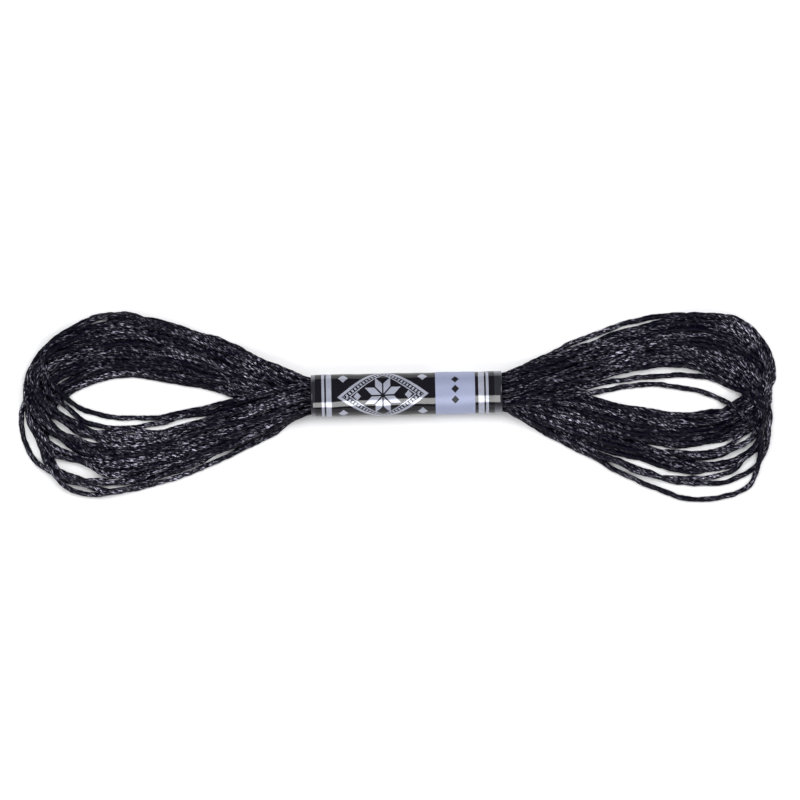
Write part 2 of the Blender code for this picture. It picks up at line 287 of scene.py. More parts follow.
# The label's print, in millimetres from its middle: the stripes, the plain panel and the
# printed stretch along it, and the middles of the ornament and of the marks.
STRIPES = ((-16.9, -16.36), (-16.0, -14.94), (14.3, 15.46), (15.8, 16.34))
PANEL = (5.75, 13.65)
PRINTED = (-18.2, 17.5)
ORNAMENT_ALONG = -4.7
MARKS_ALONG = 9.7
MARKS_ROUND = 0.6

# The ornament, in millimetres: where the star's petals begin and end across and lengthways,
# and the lozenge's reach. Its lines and its row of beads lie at shares of that.
PETAL_WIDTHS = (0.14, 1.5)
PETAL_LENGTHS = (0.2, 2.1)
LOZENGE_ALONG, LOZENGE_ROUND = 9.1, 6.3
LOZENGE_LINES = ((0.90, 1.0), (0.70, 0.74))
BEAD_ROW = (0.77, 0.87)
BEAD_PITCH, BEAD_SHARE = 0.95, 0.55

# The small lozenges in millimetres: two inside the ornament, four at its corners, and the
# marks on the panel.
INNER_ALONG, INNER_REACH = 5.1, 0.75
CORNER_ALONG, CORNER_ROUND, CORNER_REACH = 7.9, 3.7, 1.0
MARK_PITCH, MARK_REACH = 2.0, 0.78

# The print's unevenness, how dark its darker silver and panel are, and where the bare film
# turns from its dark top to its pale rim, a painted reflection of the floor, as shares of a
# reach round it in millimetres.
PRINT_GRAIN = 1.4
GRAIN_STOPS = ((0.3, 0.0), (0.7, 1.0))
DARKER_SILVER, DARKER_PANEL = 0.86, 0.9
RIM_REFLECTION_REACH = 12.0
RIM_REFLECTION_STOPS = ((0.25, 0.0), (0.46, 1.0))

# The studio, in metres and watts. Each light has its place, aim, size and power, and whether
# it shows in reflections.
FLOOR_SIZE = 3.0
FLOOR_GRAIN = 40.0
FLOOR_DARKER = 0.985
FLOOR_ROUGHNESS = 0.9
MIDDLE = (0.0, 0.0, 0.0)
LIGHTS = (
    ("front_softbox", (0.0, -0.574, 0.819), MIDDLE, (0.24, 0.5), 3.6, True),
    ("front_card", (0.0, -1.0, 0.27), (0.0, 0.0, 0.1), (1.8, 0.46), 1.95, True),
    ("top_softbox", (0.0, 0.35, 0.95), MIDDLE, (1.2, 0.7), 11.6, False),
    ("left_softbox", (-0.9, 0.1, 0.6), MIDDLE, (0.4, 0.7), 2.2, True),
    ("right_softbox", (0.9, 0.1, 0.6), MIDDLE, (0.4, 0.7), 3.2, True),
)
AIR_COLOUR = (0.9, 0.92, 1.0, 1.0)
AIR_STRENGTH = 0.06
SENSOR_WIDTH = 36.0
NEAREST_SEEN, FARTHEST_SEEN = 0.05, 10.0


def millimetres(name, description, default):
    """A length property that is shown in the scene's units."""
    return bpy.props.FloatProperty(
        name=name, description=description, default=default * MM, min=0.0, precision=5,
        unit='LENGTH', subtype='DISTANCE',
    )


def colour(name, description, default):
    """A colour property."""
    return bpy.props.FloatVectorProperty(
        name=name, description=description, default=default, size=3, min=0.0, max=1.0,
        subtype='COLOR',
    )


class FlossSettings(bpy.types.PropertyGroup):
    """Sizes and colours of the thread."""

    thickness: millimetres("Thickness", "Thickness of the thread where it lies free", 1.04)
    lay: millimetres("Lay length", "Length of thread in which the plies turn once", 9.0)
    ring_gap: millimetres("Ring gap", "Distance between the rings of the mesh", 0.45)
    wander: millimetres("Wander", "How far a thread strays from a smooth course", 0.22)
    plies: bpy.props.IntProperty(
        name="Plies", description="Strands twisted into the thread", default=6, min=2, max=12
    )
    swell: bpy.props.FloatProperty(
        name="Swell", description="How much the thickness varies", default=0.11,
        min=0.0, max=0.5, subtype='FACTOR',
    )
    seed: bpy.props.IntProperty(name="Seed", description="Seed of the wander", default=58)
    dark: colour("Thread", "Colour of the thread", (0.0006, 0.0005, 0.0016))
    sheen: colour("Sheen", "Colour of its lighter filaments", (0.0034, 0.0026, 0.0120))
    # The glint colour is painted highlight in the base colour; half of each glint is metallic.
    glint: colour("Glint", "Colour of its bright flecks", (0.84, 0.81, 1.0))


class LabelSettings(bpy.types.PropertyGroup):
    """Sizes and colours of the label."""

    film: millimetres("Film", "Thickness of the film", 0.12)
    lap: millimetres("Lap", "How far the film's ends overlap underneath", 2.2)
    ink: colour("Ink", "Colour of the label's ground", (0.0075, 0.007, 0.010))
    silver: colour("Silver", "Colour of the stripes and the ornament", (0.365, 0.38, 0.46))
    panel: colour("Panel", "Colour of the plain panel", (0.31, 0.34, 0.485))
    bare: colour("Bare film", "Colour of the bare ends on top", (0.022, 0.022, 0.028))
    # The rim colour is a painted reflection: the bare film drawn paler low at the sides.
    rim_reflection: colour("Rim", "Colour of the bare ends low at the sides", (0.24, 0.24, 0.29))


class StudioSettings(bpy.types.PropertyGroup):
    """The camera, the floor and the lights."""

    frame_width: millimetres("Frame width", "Width of the view at the surface", 160.0)
    height: millimetres("Camera height", "Height of the camera above the surface", 1100.0)
    aim_x: bpy.props.FloatProperty(
        name="Aim X", description="Where the camera looks, along the skein",
        default=-1.32 * MM, unit='LENGTH',
    )
    aim_y: bpy.props.FloatProperty(
        name="Aim Y", description="Where the camera looks, across the skein",
        default=-1.13 * MM, unit='LENGTH',
    )
    roll: bpy.props.FloatProperty(
        name="Roll", description="Turn of the camera about its own axis",
        default=math.radians(-1.2), subtype='ANGLE',
    )
    floor: colour("Floor", "Colour of the floor", (0.87, 0.87, 0.88))


def operation(kind, swapped=False):
    """A method that adds one Math node to a shader, its own value last where it is swapped."""
    def method(value, *others):
        operands = (*others, value) if swapped else (value, *others)
        return value.shader.maths(kind, *operands)
    return method


class Value:
    """A shader socket that adds, multiplies and compares as a number does."""

    def __init__(self, shader, socket):
        self.shader = shader
        self.socket = socket

    __add__ = operation('ADD')
    __radd__ = operation('ADD', swapped=True)
    __sub__ = operation('SUBTRACT')
    __rsub__ = operation('SUBTRACT', swapped=True)
    __mul__ = operation('MULTIPLY')
    __truediv__ = operation('DIVIDE')
    __lt__ = operation('LESS_THAN')
    __gt__ = operation('GREATER_THAN')
    __abs__ = operation('ABSOLUTE')
    larger = operation('MAXIMUM')
    smaller = operation('MINIMUM')
    past_whole = operation('FRACT')

    def inside(self, low, high):
        """1 where the value lies between the two, 0 elsewhere."""
        return (self > low) * (self < high)


class Shader:
    """A Principled material, and the one way that nodes are added to it."""

    def __init__(self, name):
        self.material = bpy.data.materials.new(name)
        self.material.use_nodes = True
        self.tree = self.material.node_tree
        self.surface = self.tree.nodes["Principled BSDF"]

    def feed(self, socket, value):
        """Link a socket to a value, or set it to a number or colour."""
        if isinstance(value, Value):
            self.tree.links.new(value.socket, socket)
        else:
            socket.default_value = value

    def node(self, kind, settings, inputs, output=0):
        """Add a node: its settings are made first, then its sockets are set or linked."""
        made = self.tree.nodes.new(kind)
        for name, setting in settings.items():
            if name == "stops":
                self.set_stops(made.color_ramp, setting)
            else:
                setattr(made, name, setting)
        for name, value in inputs.items():
            self.feed(made.inputs[name], value)
        return Value(self, made.outputs[output])

    @staticmethod
    def set_stops(ramp, stops):
        """Put a colour ramp's stops at their places, each with its grey."""
        while len(ramp.elements) < len(stops):
            ramp.elements.new(1.0)
        for element, (place, shade) in zip(ramp.elements, stops):
            element.position = place
            element.color = (shade, shade, shade, 1.0)

    def maths(self, kind, *operands):
        """A Math node for one operation."""
        return self.node('ShaderNodeMath', {"operation": kind}, dict(enumerate(operands)))

    def mix(self, share, first, second):
        """A colour between two colours. The node's sockets share names, so numbers find them."""
        return self.node(
            'ShaderNodeMix', {"data_type": 'RGBA'}, {0: share, 6: first, 7: second}, output=2
        )

    def vector(self, x, y, z):
        """A vector of three numbers."""
        return self.node('ShaderNodeCombineXYZ', {}, {0: x, 1: y, 2: z})

    def split(self, vector):
        """The three numbers of a vector."""
        first = self.node('ShaderNodeSeparateXYZ', {}, {0: vector})
        return [Value(self, output) for output in first.socket.node.outputs]

    def noise(self, vector, scale, detail=2.0, roughness=0.5):
        """A noise between 0 and 1 at a place."""
        return self.node(
            'ShaderNodeTexNoise', {},
            {"Vector": vector, "Scale": scale, "Detail": detail, "Roughness": roughness},
        )

    def object_place(self):
        """The place of a point in its object, in metres."""
        return self.node('ShaderNodeTexCoord', {}, {}, output="Object")

    def ramp(self, value, stops):
        """The value passed through a ramp of greys."""
        return self.node('ShaderNodeValToRGB', {"stops": stops}, {0: value})

    def finish(self, **inputs):
        """Set or link the Principled shader's own sockets, named with spaces as underscores."""
        for name, value in inputs.items():
            self.feed(self.surface.inputs[name.replace("_", " ")], value)
        return self.material


def opaque(rgb, share=1.0):
    """A colour with full alpha, darkened to a share of itself."""
    return (rgb[0] * share, rgb[1] * share, rgb[2] * share, 1.0)


def floss_material(settings):
    """Dark plied thread of fine metallic film, its short glints partly metal, partly painted
    highlight.
    """
    shader = Shader("floss")
    along, around, _ = shader.split(shader.node('ShaderNodeUVMap', {}, {}))
    along = along / UV_PER_MM
    ply = around * settings.plies

    def noise_of(per_mm, per_ply, start, **look):
        return shader.noise(shader.vector(along * per_mm, ply * per_ply, start), 1.0, **look)

    filaments = noise_of(*FILAMENTS, roughness=0.55)
    streaks = noise_of(*STREAKS, detail=1.0)
    # Patches along the threads and zones of the skein paint where the glints are bright, as light
    # falling on some stretches and not on others.
    patches = shader.ramp(noise_of(*PATCHES), PATCH_STOPS)
    place = shader.object_place()
    zones = shader.ramp(shader.noise(place, ZONES, detail=1.0), ZONE_STOPS)
    # The painted glints and the bump fade in from the label's end.
    out, _, _ = shader.split(place)
    in_open = shader.ramp(abs(out) / (OPEN_REACH * MM), OPEN_STOPS)
    # Painted glints: near-white base colour in short flecks along the plies, half metallic.
    glints = shader.ramp(streaks * STREAK_SHARE + filaments * (1 - STREAK_SHARE), GLINT_STOPS)
    glints = glints * patches * zones * in_open

    lighter = shader.ramp(filaments, SHEEN_STOPS)
    ground = shader.mix(lighter, opaque(settings.dark), opaque(settings.sheen))
    tint = shader.mix(glints, ground, opaque(settings.glint))
    bump = shader.node(
        'ShaderNodeBump', {},
        {"Strength": 0.8, "Distance": 0.08 * MM, "Height": filaments * in_open},
    )
    return shader.finish(
        Base_Color=tint,
        Metallic=glints * 0.5,
        Roughness=0.38 - glints * 0.1,
        Specular_IOR_Level=0.1,
        Normal=bump,
    )


def label_material(settings, length, girth):
    """Glossy printed film, unprinted at both ends: u runs along the label and v round it."""
    shader = Shader("label_film")
    u, v, _ = shader.split(shader.node('ShaderNodeUVMap', {}, {}))
    along = (u - 0.5) * length
    around = (v - 0.5) * girth

    stripes = sum(along.inside(*stripe) for stripe in STRIPES)
    panel = along.inside(*PANEL)
    ornament = label_ornament(along - ORNAMENT_ALONG, around)
    marks = panel * panel_marks(along - MARKS_ALONG, around - MARKS_ROUND)
    printed = (stripes + ornament).smaller(1.0)

    grain_place = shader.vector(along * PRINT_GRAIN, around * PRINT_GRAIN, 0.0)
    grain = shader.noise(grain_place, 1.0, detail=3.0)
    silver = shader.mix(
        shader.ramp(grain, GRAIN_STOPS),
        opaque(settings.silver, DARKER_SILVER), opaque(settings.silver),
    )
    panel_tint = shader.mix(
        grain, opaque(settings.panel, DARKER_PANEL), opaque(settings.panel)
    )
    tint = shader.mix(printed, opaque(settings.ink), silver)
    tint = shader.mix(panel, tint, panel_tint)
    tint = shader.mix(marks, tint, opaque(settings.ink))
    pale = ((printed + panel) * (1 - marks)).smaller(1.0)
    # Painted reflection: the bare ends turn paler from their top towards the sides.
    rim_reflection = shader.ramp(abs(around) / RIM_REFLECTION_REACH, RIM_REFLECTION_STOPS)
    bare = shader.mix(rim_reflection, opaque(settings.bare), opaque(settings.rim_reflection))
    tint = shader.mix(along.inside(*PRINTED), bare, tint)
    return shader.finish(
        Base_Color=tint,
        Metallic=pale * 0.25,
        Roughness=0.08 + printed * 0.12 + panel * 0.36,
        Specular_IOR_Level=0.42,
    )


def label_ornament(p, q):
    """A star of eight petals in a lozenge with a beaded border, centred where p and q are 0."""
    across, up = abs(p), abs(q)
    longer, shorter = across.larger(up), across.smaller(up)
    petals = shorter.inside(*PETAL_WIDTHS) * (longer - shorter).inside(*PETAL_LENGTHS)
    lozenge = across / LOZENGE_ALONG + up / LOZENGE_ROUND
    lines = sum(lozenge.inside(*line) for line in LOZENGE_LINES)
    beads = lozenge.inside(*BEAD_ROW) * (((across - up) / BEAD_PITCH).past_whole() < BEAD_SHARE)
    inner = (abs(across - INNER_ALONG) + up) < INNER_REACH
    corner = (abs(across - CORNER_ALONG) + abs(up - CORNER_ROUND)) < CORNER_REACH
    return (petals + lines + beads + inner + corner).smaller(1.0)


def panel_marks(p, q):
    """A column of three small lozenges, the middle one centred where p and q are 0."""
    from_nearest = abs(((q / MARK_PITCH + 0.5).past_whole() - 0.5) * MARK_PITCH)
    return (abs(q) < 1.5 * MARK_PITCH) * ((abs(p) + from_nearest) < MARK_REACH)


def floor_material(rgb):
    """A plain matt material with a faint unevenness."""
    shader = Shader("floor")
    grain = shader.noise(shader.object_place(), FLOOR_GRAIN)
    tint = shader.mix(grain, opaque(rgb, FLOOR_DARKER), opaque(rgb))
    return shader.finish(Base_Color=tint, Roughness=FLOOR_ROUGHNESS)


def bezier(start, leave, arrive, end, steps):
    """Points of one cubic Bezier stretch, its last point left to the next stretch."""
    t = (np.arange(steps) / steps)[:, None]
    return ((1 - t) ** 3 * start + 3 * (1 - t) ** 2 * t * leave
            + 3 * (1 - t) * t ** 2 * arrive + t ** 3 * end)


def loop_course(row, upper_slot, lower_slot, spread):
    """One turn of a loop, from its upper slot in the label round to its lower slot."""
    crown, tip, belly = (
        np.array([row[f"{point}_{axis}"] for axis in ("out", "y", "z")])
        for point in ("crown", "tip", "belly")
    )
    out, across = np.array((1.0, 0.0, 0.0)), np.array((0.0, 1.0, 0.0))
    above, below = row["upper_round"], row["lower_round"]

    def way_out(slot, crest, handle):
        mouth = np.array((MOUTH_OUT, slot[0] * spread, slot[1]))
        root = np.array((ROOT_OUT, slot[0] * ROOT_SHARE, slot[1]))
        flat_way = np.array(
            (crest[0], mouth[1] + (crest[1] - mouth[1]) * MOUTH_SLOPE, crest[2])
        )
        leave = mouth + (flat_way - mouth) * MOUTH_HANDLE
        reach = crest - out * (crest[0] - mouth[0]) * handle
        straight = (flat_way - mouth) / (crest[0] - mouth[0]) * MOUTH_STRAIGHT
        return root, mouth, leave, reach, mouth - straight

    root_up, mouth_up, leave_up, reach_up, arrive_up = way_out(
        upper_slot, crown, CROWN_HANDLE
    )
    root_low, mouth_low, leave_low, reach_low, arrive_low = way_out(
        lower_slot, belly, BELLY_HANDLE
    )
    straight = out * ROOT_STRAIGHT
    stretches = (
        bezier(root_up, root_up + straight, arrive_up, mouth_up, LABEL_STEPS),
        bezier(mouth_up, leave_up, reach_up, crown, WAY_STEPS),
        bezier(crown, crown + out * above * (tip[0] - crown[0]),
               tip + across * above * (crown[1] - tip[1]), tip, TIP_STEPS),
        bezier(tip, tip - across * below * (tip[1] - belly[1]),
               belly + out * below * (tip[0] - belly[0]), belly, TIP_STEPS),
        bezier(belly, reach_low, leave_low, mouth_low, WAY_STEPS),
        bezier(mouth_low, arrive_low, root_low + straight, root_low, LABEL_STEPS),
        root_low[None, :],
    )
    return evenly(np.vstack(stretches), COURSE_STEPS)


def evenly(points, count):
    """The same line with its points an equal distance apart."""
    lengths = np.linalg.norm(np.diff(points, axis=0), axis=1)
    reached = np.concatenate(([0.0], np.cumsum(lengths)))
    wanted = np.linspace(0.0, reached[-1], count)
    return np.stack([np.interp(wanted, reached, points[:, axis]) for axis in range(3)], axis=1)


def label_slots(count):
    """Places of the threads inside the label, packed as in a honeycomb: y and z of each."""
    half_width = LABEL_HALF_WIDTH - LABEL_ROOM
    half_height = LABEL_HALF_HEIGHT - LABEL_ROOM
    pitch = math.sqrt(math.pi * half_width * half_height / count * 2 / math.sqrt(3.0))
    pitch *= FIRST_PITCH

    def share_out(slot):
        return (slot[0] / half_width) ** 2 + (slot[1] / half_height) ** 2

    slots = []
    while len(slots) < count:
        slots = [
            (column * pitch * math.sqrt(3.0) / 2, (level + 0.5 * (column % 2)) * pitch)
            for column in SLOT_TRIES for level in SLOT_TRIES
        ]
        slots = [slot for slot in slots if share_out(slot) <= 1.0]
        pitch *= NEXT_PITCH
    slots = sorted(slots, key=share_out)[:count]
    stretch_y = half_width / max(abs(y) for y, z in slots)
    stretch_z = half_height / max(abs(z) for y, z in slots)
    return [(y * stretch_y, z * stretch_z) for y, z in slots]


def loop_threads(table, gaps, slots, at_right, radius, wander, random):
    """All turns of a loop, from the eye outwards. At the right the upper threads lie on top."""
    rows = [dict(zip(COLUMNS, values)) for values in table]
    rows.sort(key=lambda row: row["crown_y"])
    half = len(rows)
    tilt = -SLOT_TILT if at_right else SLOT_TILT
    by_tilt = sorted(slots, key=lambda slot: slot[0] - tilt * slot[1])
    lower_slots, upper_slots = sorted(by_tilt[:half]), sorted(by_tilt[half:])
    by_belly = sorted(range(half), key=lambda turn: rows[turn]["belly_y"])
    spread = MOUTH_SPREAD if at_right else 1.0
    courses = []
    for turn, row in enumerate(rows):
        upper = leant(upper_slots[turn], at_right)
        lower = leant(lower_slots[by_belly.index(turn)], at_right)
        course = held_by_label(loop_course(row, upper, lower, spread), at_right, radius)
        courses.append(course + stray(course, wander, random))
    return part_threads(np.array(courses), gaps, radius, GAP_BESIDE)


def leant(slot, at_right):
    """A slot's y and z at one mouth of the label, where the label's crest leans to a side."""
    y, z = slot
    lean = LABEL_LEAN * (max(z, 0.0) / LABEL_HALF_HEIGHT) ** 2
    return y + (lean if at_right else -lean), LABEL_CENTRE_Z + z


def held_by_label(course, at_right, radius):
    """The course with its points inside the label kept clear of the film."""
    out, y, z = course.T
    level = np.clip((z - LABEL_CENTRE_Z) / LABEL_HALF_HEIGHT, 0.0, 1.0)
    lean = LABEL_LEAN * level ** 2 * (1 if at_right else -1)
    thread = radius * squeeze(out)
    wall = LABEL_WALL + thread
    share = np.hypot((y - lean) / (LABEL_HALF_WIDTH - wall),
                     (z - LABEL_CENTRE_Z) / (LABEL_HALF_HEIGHT - wall))
    hold = np.clip((HELD_OUT - out) / (HELD_OUT - LABEL_END), 0.0, 1.0)
    scale = 1 - hold * (1 - 1 / np.maximum(share, 1.0))
    held_z = LABEL_CENTRE_Z + (z - LABEL_CENTRE_Z) * scale
    held_z = np.maximum(held_z, hold * (LABEL_UNDER + thread))
    return np.stack((out, lean + (y - lean) * scale, held_z), axis=1)


def part_threads(courses, table, radius, spread):
    """Lay the threads aside from each gap, each to the side on which most of it already lies."""
    for values in table:
        gap = dict(zip(GAP_COLUMNS, values))
        angle = math.radians(gap["angle"])
        ahead = np.array((math.cos(angle), math.sin(angle)))
        beside = np.array((-ahead[1], ahead[0]))
        flat = courses[:, :, :2]
        place = flat - np.array((gap["out"], gap["y"]))
        share = np.abs(place @ ahead) / gap["half_length"]
        offset = place @ beside
        heading = np.gradient(flat, axis=1)
        heading /= np.linalg.norm(heading, axis=2, keepdims=True)
        alike = np.abs(heading @ ahead) - GAP_ALIKE
        alike = np.clip(alike / GAP_ALIKE_OVER, 0.0, 1.0)
        far = radius + gap["half_width"] + spread
        near = (share < 1.0) * alike * np.clip(1 - np.abs(offset) / far, 0.0, 1.0)
        lean = (near * offset).sum(axis=1, keepdims=True)
        side = np.where(lean < 0.0, -1.0, 1.0)
        opening = radius + gap["half_width"] * np.clip(1 - share ** 2, 0.0, 1.0)
        opening = opening * np.clip((GAP_BEYOND - share) / (GAP_BEYOND - 1), 0.0, 1.0)
        distance = side * offset
        reach = opening + spread
        wanted = opening + np.maximum(distance, 0.0) * spread / reach
        shift = np.where(distance < reach, np.maximum(wanted - distance, 0.0), 0.0)
        shift = shift * alike * np.clip(1 + distance / GAP_FADE, 0.0, 1.0)
        for _ in range(GAP_EASING):
            shift[:, 1:-1] += (shift[:, :-2] + shift[:, 2:] - 2 * shift[:, 1:-1]) / 4
        courses[:, :, :2] += (side * shift)[:, :, None] * beside
    return courses


def stray(course, wander, random):
    """Small bends of a thread away from its smooth course, none where the label holds it."""
    place = np.linspace(0.0, STRAY_LENGTH, len(course))
    shift = np.zeros_like(course)
    for axis, strength in enumerate(STRAY_STRENGTHS):
        for wave, share in STRAY_WAVES:
            phase = random.uniform(0.0, 2 * math.pi)
            bend = random.uniform(*STRAY_STRETCH)
            shift[:, axis] += share * strength * np.sin(place / (wave * bend) * 2 * math.pi + phase)
    freedom = np.clip((course[:, 0] - MOUTH_OUT) / STRAY_EASE, 0.0, 1.0)[:, None]
    return shift * wander * freedom


def squeeze(out):
    """A thread's thickness as a share of its free one, by its distance from the label's middle."""
    share = np.clip((out - MOUTH_OUT) / (FULL_OUT - MOUTH_OUT), 0.0, 1.0)
    return LABEL_SQUEEZE + (1 - LABEL_SQUEEZE) * share * share * (3 - 2 * share)


def near_pairs(points, thread_of, order_of):
    """Pairs of points close enough to touch, of different threads or far apart on one."""
    pairs = []
    flat = points.astype(np.float32)
    for start in range(0, len(flat), NEAR_BLOCK):
        block = flat[start:start + NEAR_BLOCK]
        gap = ((block[:, None, :] - flat[None, :, :]) ** 2).sum(axis=2)
        first, second = np.nonzero(gap < NEAR_REACH ** 2)
        first = first + start
        apart = (thread_of[first] != thread_of[second]) | (
            np.abs(order_of[first] - order_of[second]) > OWN_STEPS
        )
        keep = (first < second) & apart
        pairs.append(np.stack((first[keep], second[keep]), axis=1))
    return np.vstack(pairs)


def settle(courses, thickness, rounds):
    """Push the threads of a loop apart where they cross and let them sink on to the surface."""
    threads, steps, _ = courses.shape
    points = courses.reshape(-1, 3).copy()
    home = points.copy()
    thread_of = np.repeat(np.arange(threads), steps)
    order_of = np.tile(np.arange(steps), threads)
    size = thickness * squeeze(points[:, 0])
    free = np.clip((points[:, 0] - MOUTH_OUT - FREE_AFTER) / FREE_OVER, 0.0, 1.0)[:, None]
    rest = np.linalg.norm(np.diff(courses, axis=1), axis=2)
    pairs = None
    for round_number in range(rounds):
        if round_number % NEAR_REFRESH == 0:
            pairs = near_pairs(points, thread_of, order_of)
        points[:, 2] -= SINK * free[:, 0]
        points[:, :2] += (home[:, :2] - points[:, :2]) * HOLD
        first, second = pairs[:, 0], pairs[:, 1]
        for _ in range(PUSHES):
            apart = points[first] - points[second]
            gap = np.linalg.norm(apart, axis=1) + TINY
            lack = (size[first] + size[second]) / 2 * TOUCH - gap
            hit = lack > 0
            push = apart[hit] / gap[hit, None] * lack[hit, None] / 2
            push[:, :2] *= SIDEWAYS
            points += shared_push(len(points), first[hit], second[hit], push) * free
            points[:, 2] = np.maximum(points[:, 2], size / 2)
            hold_lengths(points.reshape(threads, steps, 3), rest, free.reshape(threads, steps, 1))
        smooth_shift(points, home, threads, steps)
    return points.reshape(threads, steps, 3)


def shared_push(count, first, second, push):
    """The push on each point, eased where several points push on one."""
    touched = np.concatenate((first, second))
    pushes = np.concatenate((push, -push))
    times = 1 + np.bincount(touched, minlength=count)
    move = [np.bincount(touched, pushes[:, axis], minlength=count) for axis in range(3)]
    return np.stack(move, axis=1) / np.sqrt(times)[:, None]


def hold_lengths(lines, rest, free):
    """Keep each thread's points as far apart as they were."""
    span = lines[:, 1:] - lines[:, :-1]
    length = np.linalg.norm(span, axis=2, keepdims=True)
    change = span * (1 - rest[:, :, None] / np.maximum(length, TINY)) * LENGTH_HOLD
    lines[:, :-1] += change * free[:, :-1]
    lines[:, 1:] -= change * free[:, 1:]


def smooth_shift(points, home, threads, steps):
    """Even out how far neighbouring points of a thread have moved from where they began."""
    shift = (points - home).reshape(threads, steps, 3)
    middle = (shift[:, :-2] + shift[:, 2:]) / 2 - shift[:, 1:-1]
    shift[:, 1:-1] += middle * EVENING
    points[:] = home + shift.reshape(-1, 3)
    points[:, 2] = np.maximum(points[:, 2], LOWEST)


def inner_pass(start, end):
    """The hidden stretch of thread through the label, between two roots."""
    out = np.array((abs(end[0] - start[0]) / 3, 0.0, 0.0)) * np.sign(end[0] - start[0])
    return bezier(start, start + out, end - out, end, LABEL_STEPS)[1:]


def mirrored(course):
    """A course of the left loop: its distance out of the label runs towards -X."""
    return course * np.array((-1.0, 1.0, 1.0))


def whole_thread(left, right):
    """The thread from end to end: a list of turns, each a line from label to label."""
    turns = []
    for turn in range(len(left)):
        left_way = mirrored(left[turn])
        right_way = right[turn][::-1]
        parts = [left_way, inner_pass(left_way[-1], right_way[0]), right_way]
        if turn + 1 < len(left):
            parts.append(inner_pass(right_way[-1], mirrored(left[turn + 1])[0]))
        turns.append(np.vstack(parts))
    return turns


def smooth_line(points, gap):
    """Points a fixed distance apart on a smooth curve through the given ones."""
    ahead = np.vstack((points[1:], 2 * points[-1:] - points[-2:-1]))
    behind = np.vstack((2 * points[:1] - points[1:2], points[:-1]))
    slope = (ahead - behind) / 2
    fine = []
    for t in np.arange(0.0, 1.0, FINE_STEP):
        a, b = 2 * t ** 3 - 3 * t ** 2 + 1, t ** 3 - 2 * t ** 2 + t
        c, d = -2 * t ** 3 + 3 * t ** 2, t ** 3 - t ** 2
        fine.append(a * points[:-1] + b * slope[:-1] + c * points[1:] + d * slope[1:])
    line = np.stack(fine, axis=1).reshape(-1, 3)
    line = np.vstack((line, points[-1:]))
    total = np.linalg.norm(np.diff(line, axis=0), axis=1).sum()
    return evenly(line, int(total / gap) + 2)


def steady_frames(line):
    """Two directions square to a line at each of its points, turning as little as they can."""
    ahead = np.gradient(line, axis=0)
    ahead /= np.linalg.norm(ahead, axis=1, keepdims=True)
    normals = np.zeros_like(line)
    normal = np.cross(ahead[0], (0.0, 0.0, 1.0))
    for index, heading in enumerate(ahead):
        normal = normal - heading * np.dot(normal, heading)
        normal /= np.linalg.norm(normal)
        normals[index] = normal
    return normals, np.cross(ahead, normals)


def swelling(reached, settings, random):
    """How thick each ply is at each ring, as a share of its own thickness."""
    swell = np.ones((len(reached), settings.plies * POINTS_PER_PLY))
    for ply in range(settings.plies):
        wave = sum(
            np.sin(reached / length * 2 * math.pi + random.uniform(0, 2 * math.pi)) * share
            for length, share in SWELL_WAVES
        )
        columns = slice(ply * POINTS_PER_PLY, (ply + 1) * POINTS_PER_PLY)
        swell[:, columns] += settings.swell * wave[:, None]
    return swell


def thread_rings(line, reached, settings, random):
    """A ring of points for each point of a thread's line, with valleys between its plies."""
    profile = np.array(([VALLEY] + [1.0] * (POINTS_PER_PLY - 1)) * settings.plies)
    normals, sideways = steady_frames(line)
    radius = settings.thickness / MM / 2 * squeeze(np.abs(line[:, 0]))
    swell = swelling(reached, settings, random)
    angle = (np.arange(len(profile)) * 2 * math.pi / len(profile))[None, :]
    angle = angle + (reached / (settings.lay / MM) * 2 * math.pi)[:, None]
    reach = radius[:, None] * profile[None, :] * swell
    ring = (np.cos(angle)[:, :, None] * normals[:, None, :]
            + np.sin(angle)[:, :, None] * sideways[:, None, :])
    rings = line[:, None, :] + ring * reach[:, :, None]
    rings[:, :, 2] = np.maximum(rings[:, :, 2], CLEARANCE)
    return rings


def thread_piece(name, rings, reached):
    """A closed mesh over a thread's rings, its u along the thread and its v round it."""
    count, sides, _ = rings.shape
    here = np.arange(count - 1)[:, None] * sides
    first = np.arange(sides)[None, :]
    second = (first + 1) % sides
    quads = np.stack((here + first, here + sides + first, here + sides + second, here + second),
                     axis=2).reshape(-1, 4)
    faces = quads.tolist()
    faces.append(list(range(sides)))
    faces.append(list(range((count - 1) * sides, count * sides))[::-1])
    mesh = bpy.data.meshes.new(name)
    mesh.from_pydata((rings.reshape(-1, 3) * MM).tolist(), [], faces)

    layer = mesh.uv_layers.new(name="UVMap")
    along = np.repeat(reached[:-1, None], sides, axis=1) * UV_PER_MM
    beyond = np.repeat(reached[1:, None], sides, axis=1) * UV_PER_MM
    round_first = np.broadcast_to(first / sides, along.shape)
    round_second = np.broadcast_to((first + 1) / sides, along.shape)
    corners = np.stack((
        np.stack((along, round_first), axis=2), np.stack((beyond, round_first), axis=2),
        np.stack((beyond, round_second), axis=2), np.stack((along, round_second), axis=2),
    ), axis=2)
    caps = np.zeros((2 * sides, 2))
    layer.data.foreach_set("uv", np.vstack((corners.reshape(-1, 2), caps)).ravel())
    mesh.shade_smooth()
    mesh.validate()
    piece = bpy.data.objects.new(name, mesh)
    bpy.context.scene.collection.objects.link(piece)
    return piece


def thinned(line, reached):
    """The line with most of its points inside the label left out, where nothing shows."""
    hidden = np.abs(line[:, 0]) < HIDDEN_OUT
    keep = ~hidden | (np.arange(len(line)) % HIDDEN_STRIDE == 0)
    keep[0] = keep[-1] = True
    return line[keep], reached[keep]


